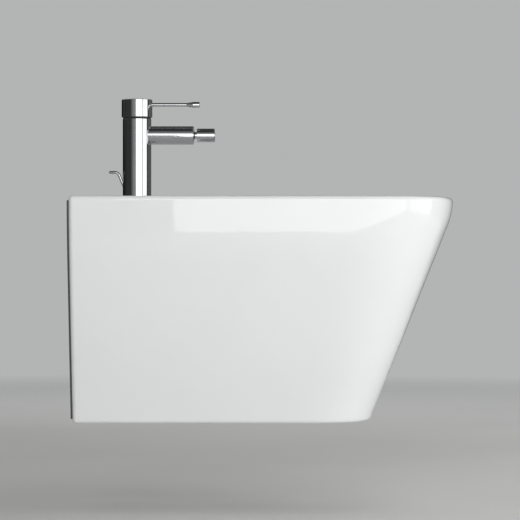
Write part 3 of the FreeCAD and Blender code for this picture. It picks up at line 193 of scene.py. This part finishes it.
def tinted(tree, shader, factor, first, second):
    """Base colour that a pattern takes from the first colour to the second."""
    node = tree.nodes.new("ShaderNodeMix")
    node.data_type = "RGBA"
    for name, value in (("A", first), ("B", second)):
        socket = [item for item in node.inputs if item.name == name and item.type == "RGBA"][0]
        socket.default_value = (*value, 1.0)
    tree.links.new(factor, node.inputs["Factor"])
    mixed = [item for item in node.outputs if item.type == "RGBA"][0]
    tree.links.new(mixed, shader.inputs["Base Color"])


def roughened(tree, shader, pattern, low, high):
    """Roughness that a pattern takes from low to high."""
    tree.links.new(spread(tree, pattern, low=low, high=high), shader.inputs["Roughness"])


def raised(tree, shader, height, distance, strength, edge=0.0):
    """Relief from a pattern, on edges that are eased where a radius is given."""
    node = tree.nodes.new("ShaderNodeBump")
    node.inputs["Distance"].default_value = distance
    node.inputs["Strength"].default_value = strength
    tree.links.new(height, node.inputs["Height"])
    if edge > 0.0:
        eased = tree.nodes.new("ShaderNodeBevel")
        eased.samples = 6
        eased.inputs["Radius"].default_value = edge
        tree.links.new(eased.outputs["Normal"], node.inputs["Normal"])
    tree.links.new(node.outputs["Normal"], shader.inputs["Normal"])


def glaze_material(finish):
    """White fired glaze: a clear, glossy coat with faint clouds and a very slight ripple."""
    material, tree, shader, place = start_material("white_glaze")
    thickness = spread(tree, clouds(tree, place, scale=11.0, detail=3.0))
    tinted(tree, shader, thickness, finish.glaze, finish.glaze_shade)
    clearest, dullest = finish.glaze_roughness, finish.glaze_roughness * 1.6
    roughened(tree, shader, clouds(tree, place, scale=320.0), low=clearest, high=dullest)
    raised(tree, shader, clouds(tree, place, scale=60.0), distance=0.00002, strength=0.35)
    shader.inputs["IOR"].default_value = 1.52
    shader.inputs["Coat Weight"].default_value = 0.25
    shader.inputs["Coat Roughness"].default_value = 0.02
    return material


def chrome_material(finish):
    """Polished plating with faint haze and hairlines."""
    material, tree, shader, place = start_material("polished_chrome")
    haze = spread(tree, clouds(tree, place, scale=55.0, detail=4.0), start=0.45, end=0.85)
    tinted(tree, shader, haze, finish.chrome, finish.chrome_shade)
    clearest, dullest = finish.chrome_roughness * 0.7, finish.chrome_roughness * 1.7
    roughened(tree, shader, clouds(tree, place, scale=260.0, detail=4.0), low=clearest, high=dullest)
    hairlines = clouds(tree, stretched(tree, place, scale=(900.0, 900.0, 60.0)), scale=1.0)
    raised(tree, shader, hairlines, distance=0.000002, strength=0.25, edge=0.0003)
    shader.inputs["Metallic"].default_value = 1.0
    return material


def brass_material(finish):
    """Turned brass that has dulled in patches."""
    material, tree, shader, place = start_material("turned_brass")
    tarnish = spread(tree, clouds(tree, place, scale=120.0, detail=5.0), start=0.4, end=0.8)
    tinted(tree, shader, tarnish, finish.brass, finish.brass_shade)
    roughened(tree, shader, clouds(tree, place, scale=400.0), low=0.22, high=0.42)
    raised(tree, shader, clouds(tree, place, scale=1500.0), distance=0.00002, strength=0.3, edge=0.0003)
    shader.inputs["Metallic"].default_value = 1.0
    return material


def steel_material(finish):
    """Zinc-plated steel with a warm and a cool tint."""
    material, tree, shader, place = start_material("zinc_steel")
    warmth = spread(tree, clouds(tree, place, scale=150.0, detail=3.0))
    tinted(tree, shader, warmth, finish.steel, finish.steel_shade)
    roughened(tree, shader, clouds(tree, place, scale=700.0), low=0.3, high=0.48)
    raised(tree, shader, clouds(tree, place, scale=2200.0), distance=0.00002, strength=0.35, edge=0.0003)
    shader.inputs["Metallic"].default_value = 1.0
    return material


def rubber_material(finish):
    """Black rubber with a grey bloom and a fine moulded grain."""
    material, tree, shader, place = start_material("seal_rubber")
    bloom = spread(tree, clouds(tree, place, scale=180.0, detail=4.0), start=0.45, end=0.8)
    tinted(tree, shader, bloom, finish.rubber, finish.rubber_shade)
    roughened(tree, shader, clouds(tree, place, scale=900.0), low=0.62, high=0.82)
    raised(tree, shader, clouds(tree, place, scale=2600.0), distance=0.00004, strength=0.4)
    return material


def moulded_material(name, first, second, low, high):
    """Moulded piece with flow marks and a fine skin, whose roughness goes from low to high."""
    material, tree, shader, place = start_material(name)
    marks = clouds(tree, stretched(tree, place, scale=(40.0, 40.0, 120.0)), scale=1.0, detail=4.0)
    tinted(tree, shader, spread(tree, marks), first, second)
    roughened(tree, shader, clouds(tree, place, scale=500.0), low, high)
    raised(tree, shader, clouds(tree, place, scale=1800.0), distance=0.00003, strength=0.3, edge=0.0004)
    return material


def foam_and_shadow_gap_material(finish):
    """Dark closed-cell foam with its cut cells; its near-black colour is also painted shade for the shadow
    gap between the ceramic and the wall.
    """
    material, tree, shader, place = start_material("wall_foam")
    cut = cells(tree, place, scale=900.0)
    tinted(tree, shader, spread(tree, cut, start=0.1, end=0.6), finish.foam, finish.foam_shade)
    roughened(tree, shader, clouds(tree, place, scale=700.0), low=0.82, high=0.97)
    raised(tree, shader, cut, distance=0.0003, strength=0.7)
    return material


def nodes_of(slot):
    """Names of the solids whose record slot has that name."""
    wanted = [part["node"] for part in frame["record"]["subparts"] if part["material_slot"] == slot]
    if not wanted:
        raise RuntimeError("no solid has the slot " + slot)
    return wanted


def dress(slot, material):
    """Give the material to every solid of a slot."""
    for node in nodes_of(slot):
        for holder in frame["nodes"][node].material_slots:
            holder.material = material


def shared_material(slot):
    """The material that the solids of a slot were given."""
    return frame["nodes"][nodes_of(slot)[0]].material_slots[0].material


# Small details
def corners(node):
    """Lowest and highest corner of a solid's box."""
    low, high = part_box(node)
    return Vector(low), Vector(high)


def middle(node):
    """Middle of a solid's box."""
    low, high = corners(node)
    return (low + high) / 2.0


def facing(place, axis):
    """Matrix that stands a shape made round Z at a place, along another axis."""
    return Matrix.Translation(place) @ Vector(axis).to_track_quat("Z", "Y").to_matrix().to_4x4()


def numbers(*labels):
    """Inputs of a geometry tree that are plain numbers."""
    return [(label, "NodeSocketFloat") for label in labels]


def start_tree(name, sockets):
    """Geometry tree with named inputs and a material input, and the outputs that give their values."""
    tree = bpy.data.node_groups.new(name, "GeometryNodeTree")
    for label, kind in sockets + [("Material", "NodeSocketMaterial")]:
        tree.interface.new_socket(label, in_out="INPUT", socket_type=kind)
    tree.interface.new_socket("Geometry", in_out="OUTPUT", socket_type="NodeSocketGeometry")
    given = tree.nodes.new("NodeGroupInput").outputs
    return tree, given


def feed(tree, node, sources):
    """Link a source to each named input of a node."""
    for name, source in sources.items():
        tree.links.new(source, node.inputs[name])


def finish_tree(tree, given, shape):
    """Make instances real, smooth the faces, set the material and end the tree."""
    chain = [tree.nodes.new("GeometryNodeRealizeInstances"), tree.nodes.new("GeometryNodeSetShadeSmooth"),
             tree.nodes.new("GeometryNodeSetMaterial")]
    for node in chain:
        tree.links.new(shape, node.inputs["Geometry"])
        shape = node.outputs["Geometry"]
    tree.links.new(given["Material"], chain[-1].inputs["Material"])
    tree.links.new(shape, tree.nodes.new("NodeGroupOutput").inputs["Geometry"])
    return tree


def ring_of_ribs():
    """Tree: round ribs that stand on a circle, along its axis."""
    sockets = [("Count", "NodeSocketInt")] + numbers("Ring Radius", "Rib Radius", "Rib Length")
    tree, given = start_tree("ring_of_ribs", sockets)
    circle = tree.nodes.new("GeometryNodeMeshCircle")
    feed(tree, circle, {"Vertices": given["Count"], "Radius": given["Ring Radius"]})
    rib = tree.nodes.new("GeometryNodeMeshCylinder")
    rib.inputs["Vertices"].default_value = 10
    feed(tree, rib, {"Radius": given["Rib Radius"], "Depth": given["Rib Length"]})
    place = tree.nodes.new("GeometryNodeInstanceOnPoints")
    feed(tree, place, {"Points": circle.outputs["Mesh"], "Instance": rib.outputs["Mesh"]})
    return finish_tree(tree, given, place.outputs["Instances"])


def screw_thread():
    """Tree: one ridge wound round a stud."""
    tree, given = start_tree("screw_thread", numbers("Turns", "Radius", "Height", "Ridge"))
    coil = tree.nodes.new("GeometryNodeCurveSpiral")
    coil.inputs["Resolution"].default_value = 28
    feed(tree, coil, {"Rotations": given["Turns"], "Start Radius": given["Radius"],
                      "End Radius": given["Radius"], "Height": given["Height"]})
    ridge = tree.nodes.new("GeometryNodeCurvePrimitiveCircle")
    ridge.inputs["Resolution"].default_value = 6
    feed(tree, ridge, {"Radius": given["Ridge"]})
    swept = tree.nodes.new("GeometryNodeCurveToMesh")
    swept.inputs["Fill Caps"].default_value = True
    feed(tree, swept, {"Curve": coil.outputs["Curve"], "Profile Curve": ridge.outputs["Curve"]})
    return finish_tree(tree, given, swept.outputs["Mesh"])


def jet_rims(rows):
    """Tree: a small round rim at the middle and at each jet of every row."""
    tree, given = start_tree("jet_rims", numbers("Pitch", "Rim Radius", "Rim Section"))
    joined = tree.nodes.new("GeometryNodeJoinGeometry")
    single = tree.nodes.new("GeometryNodeMeshLine")
    single.inputs["Count"].default_value = 1
    feed(tree, joined, {"Geometry": single.outputs["Mesh"]})
    more_each_row = 6
    for row in range(1, rows + 1):
        reach = tree.nodes.new("ShaderNodeMath")
        reach.operation = "MULTIPLY"
        reach.inputs[1].default_value = row
        tree.links.new(given["Pitch"], reach.inputs[0])
        circle = tree.nodes.new("GeometryNodeMeshCircle")
        circle.inputs["Vertices"].default_value = more_each_row * row
        feed(tree, circle, {"Radius": reach.outputs["Value"]})
        feed(tree, joined, {"Geometry": circle.outputs["Mesh"]})
    loop = tree.nodes.new("GeometryNodeCurvePrimitiveCircle")
    loop.inputs["Resolution"].default_value = 14
    feed(tree, loop, {"Radius": given["Rim Radius"]})
    section = tree.nodes.new("GeometryNodeCurvePrimitiveCircle")
    section.inputs["Resolution"].default_value = 6
    feed(tree, section, {"Radius": given["Rim Section"]})
    rim = tree.nodes.new("GeometryNodeCurveToMesh")
    feed(tree, rim, {"Curve": loop.outputs["Curve"], "Profile Curve": section.outputs["Curve"]})
    place = tree.nodes.new("GeometryNodeInstanceOnPoints")
    feed(tree, place, {"Points": joined.outputs["Geometry"], "Instance": rim.outputs["Mesh"]})
    return finish_tree(tree, given, place.outputs["Instances"])


def add_piece(name, mesh):
    """A new object with a mesh, linked to the scene."""
    piece = bpy.data.objects.new(name, mesh)
    bpy.context.scene.collection.objects.link(piece)
    return piece


def grown_piece(name, tree, values, place):
    """Plain mesh piece from a geometry tree with its inputs set, put in its place."""
    piece = add_piece(name, bpy.data.meshes.new(name))
    modifier = piece.modifiers.new(name, "NODES")
    modifier.node_group = tree
    for socket in tree.interface.items_tree:
        if socket.in_out == "INPUT":
            modifier[socket.identifier] = values[socket.name]
    depsgraph = bpy.context.evaluated_depsgraph_get()
    mesh = bpy.data.meshes.new_from_object(piece.evaluated_get(depsgraph))
    if not mesh.polygons:
        raise RuntimeError("the tree of " + name + " made no faces")
    piece.modifiers.remove(modifier)
    mesh.transform(place)
    piece.data = mesh
    return piece


def fix_piece(piece, body):
    """Let a finished piece move with its body."""
    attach(piece, body)


def ribbed(node, axis, band, detail, tree):
    """Grip ribs round the upper end of a nut or cup, over a share of its length along the axis."""
    low, high = corners(node)
    size = high - low
    along = max(range(3), key=lambda step: abs(axis[step]))
    depth = size[along] * band
    across = min(size[step] for step in range(3) if step != along)
    radius = across / 2.0
    values = {"Count": round(2.0 * math.pi * radius / detail.rib_spacing), "Ring Radius": radius,
              "Rib Radius": detail.rib_radius, "Rib Length": depth - 2.0 * detail.rib_margin,
              "Material": shared_material("trap_plastic")}
    place = middle(node)
    place[along] = high[along] - depth / 2.0
    return grown_piece(node + "_ribs", tree, values, facing(place, axis))


# Operators of the pieces
class BIDET_OT_ceramic(bpy.types.Operator):
    """Give the ceramic its glaze"""
    bl_idname = "bidet.ceramic"
    bl_label = "Glaze the ceramic"

    def execute(self, context):
        dress("glaze", glaze_material(context.scene.bidet_finish))
        return {"FINISHED"}


class BIDET_OT_metalwork(bpy.types.Operator):
    """Finish the chrome, brass and steel pieces"""
    bl_idname = "bidet.metalwork"
    bl_label = "Finish the metalwork"

    def execute(self, context):
        finish = context.scene.bidet_finish
        dress("chrome", chrome_material(finish))
        dress("brass", brass_material(finish))
        dress("steel", steel_material(finish))
        return {"FINISHED"}


class BIDET_OT_plastics(bpy.types.Operator):
    """Finish the plastic, rubber and disc pieces"""
    bl_idname = "bidet.plastics"
    bl_label = "Finish the plastics and seals"

    def execute(self, context):
        finish = context.scene.bidet_finish
        dress("rubber", rubber_material(finish))
        moulded = (("guide_plastic", finish.guide, finish.guide_shade, 0.36, 0.5),
                   ("trap_plastic", finish.pipe, finish.pipe_shade, 0.24, 0.36),
                   ("disc_ceramic", finish.disc, finish.disc_shade, 0.14, 0.24),
                   ("index_grey", finish.index, finish.index_shade, 0.2, 0.3))
        for slot, first, second, clearest, dullest in moulded:
            dress(slot, moulded_material(slot, first, second, low=clearest, high=dullest))
        return {"FINISHED"}


class BIDET_OT_wall_pad_and_shadow_gap(bpy.types.Operator):
    """Make the foam pad on the ceramic's back, whose dark edge is also a painted shadow gap against the wall
    """
    bl_idname = "bidet.wall_pad"
    bl_label = "Make the wall pad"

    def execute(self, context):
        touching, flat, sharp = 1e-6, math.radians(1.0), math.radians(40.0)
        mesh = bpy.data.meshes.new("foam_pad_and_shadow_gap")
        shape = bmesh.new()
        shape.from_mesh(frame["nodes"]["wall_pad"].data)
        bmesh.ops.remove_doubles(shape, verts=shape.verts, dist=touching)
        bmesh.ops.dissolve_limit(shape, angle_limit=flat, verts=shape.verts, edges=shape.edges)
        shape.to_mesh(mesh)
        shape.free()
        # The dark foam paints the shadow gap along the ceramic's back edge, as well as being the pad's own
        # colour.
        mesh.materials.append(foam_and_shadow_gap_material(context.scene.bidet_finish))
        pad = add_piece("foam_pad_and_shadow_gap", mesh)
        bevel = pad.modifiers.new("cut_edge", "BEVEL")
        bevel.width = context.scene.bidet_detail.pad_edge
        bevel.segments = 2
        bevel.angle_limit = sharp
        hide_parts("wall_pad")
        fix_piece(pad, "root")
        return {"FINISHED"}


class BIDET_OT_grip_ribs(bpy.types.Operator):
    """Make the grip ribs round the trap's nuts and cup"""
    bl_idname = "bidet.grip_ribs"
    bl_label = "Make the grip ribs"

    def execute(self, context):
        detail = context.scene.bidet_detail
        tree = ring_of_ribs()
        gripped = (("trap_slip_nut", (0, 0, 1), 1.0), ("outlet_nut", (1, 0, 0), 1.0),
                   ("trap_cup", (0, 0, 1), detail.cup_band))
        for node, axis, band in gripped:
            fix_piece(ribbed(node, axis, band, detail, tree), "root")
        return {"FINISHED"}


class BIDET_OT_stud_thread(bpy.types.Operator):
    """Wind the thread round the free end of the tap's stud"""
    bl_idname = "bidet.stud_thread"
    bl_label = "Make the stud's thread"

    def execute(self, context):
        detail = context.scene.bidet_detail
        stud_low, stud_high = corners("tap_stud")
        nut_low = corners("clamp_nut")[0]
        rise = nut_low.z - stud_low.z - 2.0 * detail.thread_radius
        values = {"Turns": rise / detail.thread_pitch, "Radius": (stud_high.x - stud_low.x) / 2.0,
                  "Height": rise, "Ridge": detail.thread_radius, "Material": shared_material("steel")}
        foot = middle("tap_stud")
        foot.z = stud_low.z + detail.thread_radius
        piece = grown_piece("stud_thread", screw_thread(), values, Matrix.Translation(foot))
        fix_piece(piece, "root")
        return {"FINISHED"}


class BIDET_OT_aerator_jets(bpy.types.Operator):
    """Make the rims round the aerator's jets"""
    bl_idname = "bidet.aerator_jets"
    bl_label = "Make the aerator's jets"

    def execute(self, context):
        detail = context.scene.bidet_detail
        values = {"Pitch": detail.jet_pitch, "Rim Radius": detail.jet_radius,
                  "Rim Section": detail.jet_section, "Material": shared_material("guide_plastic")}
        face = middle("aerator_insert")
        face.x = corners("aerator_insert")[1].x
        piece = grown_piece("jet_rims", jet_rims(detail.jet_rows), values, facing(face, (1, 0, 0)))
        fix_piece(piece, "nozzle")
        return {"FINISHED"}


# Studio
def floor_material(stage, fade_start, fade_end):
    """Pale floor that fades out into the backdrop, and is clear from below."""
    material, tree, shader, place = start_material("pale_floor")
    darker = 0.96
    second = [part * darker for part in stage.floor_colour]
    tinted(tree, shader, spread(tree, clouds(tree, place, scale=3.0)), stage.floor_colour, second)
    shader.inputs["Roughness"].default_value = 0.7
    reach = tree.nodes.new("ShaderNodeVectorMath")
    reach.operation = "LENGTH"
    tree.links.new(place, reach.inputs[0])
    fade = spread(tree, reach.outputs["Value"], low=1.0, high=0.0, start=fade_start, end=fade_end)
    solid = tree.nodes.new("ShaderNodeMath")
    solid.operation = "SUBTRACT"
    solid.use_clamp = True
    tree.links.new(fade, solid.inputs[0])
    tree.links.new(tree.nodes.new("ShaderNodeNewGeometry").outputs["Backfacing"], solid.inputs[1])
    tree.links.new(solid.outputs["Value"], shader.inputs["Alpha"])
    return material


def studio_floor(stage):
    """Round floor under the object."""
    mesh = bpy.data.meshes.new("floor")
    shape = bmesh.new()
    bmesh.ops.create_circle(shape, cap_ends=True, segments=96, radius=4.0)
    bmesh.ops.translate(shape, verts=shape.verts, vec=(0.0, 0.0, stage.floor_height))
    shape.to_mesh(mesh)
    shape.free()
    mesh.materials.append(floor_material(stage, fade_start=1.2, fade_end=3.2))
    add_piece("floor", mesh)


def panel(name, place, normal, width, height, strength, glossy):
    """Soft rectangular light with an even brightness, which glossy surfaces may mirror or not."""
    lamp = bpy.data.lights.new(name, "AREA")
    lamp.shape = "RECTANGLE"
    lamp.size = width
    lamp.size_y = height
    lamp.energy = strength * math.pi * width * height
    light = bpy.data.objects.new(name, lamp)
    light.location = place
    light.rotation_mode = "QUATERNION"
    light.rotation_quaternion = Vector(normal).to_track_quat("-Z", "Y")
    light.visible_camera = False
    light.visible_glossy = glossy
    bpy.context.scene.collection.objects.link(light)


def upright_panel(name, start, end, low, high, strength):
    """Upright light between two points of the plan, facing left of the way from start to end."""
    along = Vector((end[0] - start[0], end[1] - start[1], 0.0))
    place = ((start[0] + end[0]) / 2.0, (start[1] + end[1]) / 2.0, (low + high) / 2.0)
    panel(name, place, (-along.y, along.x, 0.0), along.length, high - low, strength, glossy=True)


def studio_lights(stage):
    """Upright panels in front and to the right, seen in the gloss, and soft fills that no surface mirrors."""
    front, corner, gap = -1.78, 2.0, 0.17
    above_floor, middle_height, top = 0.005, 0.12, 0.75
    left, upper_left, right_end = 0.073, -0.05, -0.06
    low = stage.floor_height + above_floor
    upright_panel("low_front_light", (left, front), (corner, front), low, middle_height, stage.low_strength)
    upright_panel("high_front_light", (upper_left, front), (corner - gap, front), middle_height, top,
                  stage.high_strength)
    upright_panel("right_light", (corner, front + gap), (corner, right_end), low, top, stage.side_strength)
    fills = (("top_light", (0.25, 0.0, 2.2), (0.0, 0.0, -1.0), 2.2, 2.2, stage.top_strength),
             ("front_fill", (0.25, -2.4, 0.9), (0.0, 2.4, -0.9), 2.4, 1.2, stage.fill_strength),
             ("back_fill", (0.25, 2.2, 0.9), (0.0, -2.2, -0.9), 2.4, 1.2, stage.fill_strength),
             ("nose_fill", (1.9, 0.6, 0.0), (-1.4, -0.5, 0.0), 1.4, 1.0, stage.nose_strength))
    for name, place, normal, width, height, strength in fills:
        panel(name, place, normal, width, height, strength, glossy=False)


def glow_towards(tree, look, towards, strength, start, end):
    """Brightness of the studio that grows towards one direction."""
    node = tree.nodes.new("ShaderNodeVectorMath")
    node.operation = "DOT_PRODUCT"
    node.inputs[1].default_value = towards
    tree.links.new(look, node.inputs[0])
    return spread(tree, node.outputs["Value"], low=0.0, high=strength, start=start, end=end)


def studio_world(stage):
    """Pale backdrop for the camera, and a dim studio with soft glows for the light."""
    world = bpy.data.worlds.new("studio")
    world.use_nodes = True
    tree = world.node_tree
    seen = tree.nodes["Background"]
    seen.inputs["Color"].default_value = (*stage.backdrop_colour, 1.0)
    seen.inputs["Strength"].default_value = stage.backdrop_strength
    unseen = tree.nodes.new("ShaderNodeBackground")
    look = tree.nodes.new("ShaderNodeTexCoord").outputs["Generated"]
    front, back = (0.2, -1.0, 0.0), (0.6, 0.8, 0.0)
    high_left, high_right = (-0.65, 0.3, 0.7), (0.65, 0.3, 0.7)
    glow = glow_towards(tree, look, front, stage.side_dim, start=-1.0, end=-0.1)
    for more in (glow_towards(tree, look, front, stage.front_glow, start=0.55, end=0.95),
                 glow_towards(tree, look, back, stage.back_glow, start=0.62, end=0.9),
                 glow_towards(tree, look, high_left, stage.high_glow, start=0.74, end=0.96),
                 glow_towards(tree, look, high_right, stage.high_glow, start=0.74, end=0.96)):
        total = tree.nodes.new("ShaderNodeMath")
        tree.links.new(glow, total.inputs[0])
        tree.links.new(more, total.inputs[1])
        glow = total.outputs["Value"]
    tree.links.new(glow, unseen.inputs["Strength"])
    mixed = tree.nodes.new("ShaderNodeMixShader")
    tree.links.new(tree.nodes.new("ShaderNodeLightPath").outputs["Is Camera Ray"], mixed.inputs["Fac"])
    tree.links.new(unseen.outputs["Background"], mixed.inputs[1])
    tree.links.new(seen.outputs["Background"], mixed.inputs[2])
    tree.links.new(mixed.outputs["Shader"], tree.nodes["World Output"].inputs["Surface"])
    bpy.context.scene.world = world


def studio_camera(stage):
    """Level camera that faces the object's side."""
    lens = bpy.data.cameras.new("camera")
    lens.lens = stage.camera_lens
    lens.sensor_width = 36.0
    lens.clip_end = 50.0
    camera = bpy.data.objects.new("camera", lens)
    camera.location = stage.camera_place
    camera.rotation_euler = (math.radians(90.0), 0.0, 0.0)
    bpy.context.scene.collection.objects.link(camera)
    bpy.context.scene.camera = camera


class BIDET_OT_stage(bpy.types.Operator):
    """Make the floor, the lights and the camera"""
    bl_idname = "bidet.stage"
    bl_label = "Make the studio"

    def execute(self, context):
        stage = context.scene.bidet_stage
        studio_floor(stage)
        studio_lights(stage)
        studio_world(stage)
        studio_camera(stage)
        context.scene.view_settings.view_transform = "Standard"
        return {"FINISHED"}


steps = (BIDET_OT_ceramic, BIDET_OT_metalwork, BIDET_OT_plastics, BIDET_OT_wall_pad_and_shadow_gap, BIDET_OT_grip_ribs,
         BIDET_OT_stud_thread, BIDET_OT_aerator_jets, BIDET_OT_stage)


class BIDET_PT_panel(bpy.types.Panel):
    """Sidebar panel that lists the bidet's steps"""
    bl_idname = "BIDET_PT_panel"
    bl_label = "Bidet"
    bl_space_type = "VIEW_3D"
    bl_region_type = "UI"
    bl_category = "Bidet"

    def draw(self, context):
        for step in steps:
            self.layout.operator(step.bl_idname)


groups = (("bidet_finish", BidetFinish), ("bidet_detail", BidetDetail), ("bidet_stage", BidetStage))


def register():
    """Register the settings, the steps and the panel."""
    for name, group in groups:
        bpy.utils.register_class(group)
        setattr(bpy.types.Scene, name, PointerProperty(type=group))
    for kind in steps + (BIDET_PT_panel,):
        bpy.utils.register_class(kind)


def unregister():
    """Take the panel, the steps and the settings away again."""
    for kind in reversed(steps + (BIDET_PT_panel,)):
        bpy.utils.unregister_class(kind)
    for name, group in reversed(groups):
        delattr(bpy.types.Scene, name)
        bpy.utils.unregister_class(group)


def main():
    """Register everything and run every step in order."""
    register()
    for step in steps:
        area, name = step.bl_idname.split(".")
        getattr(getattr(bpy.ops, area), name)()


if __name__ == "__main__":
    main()
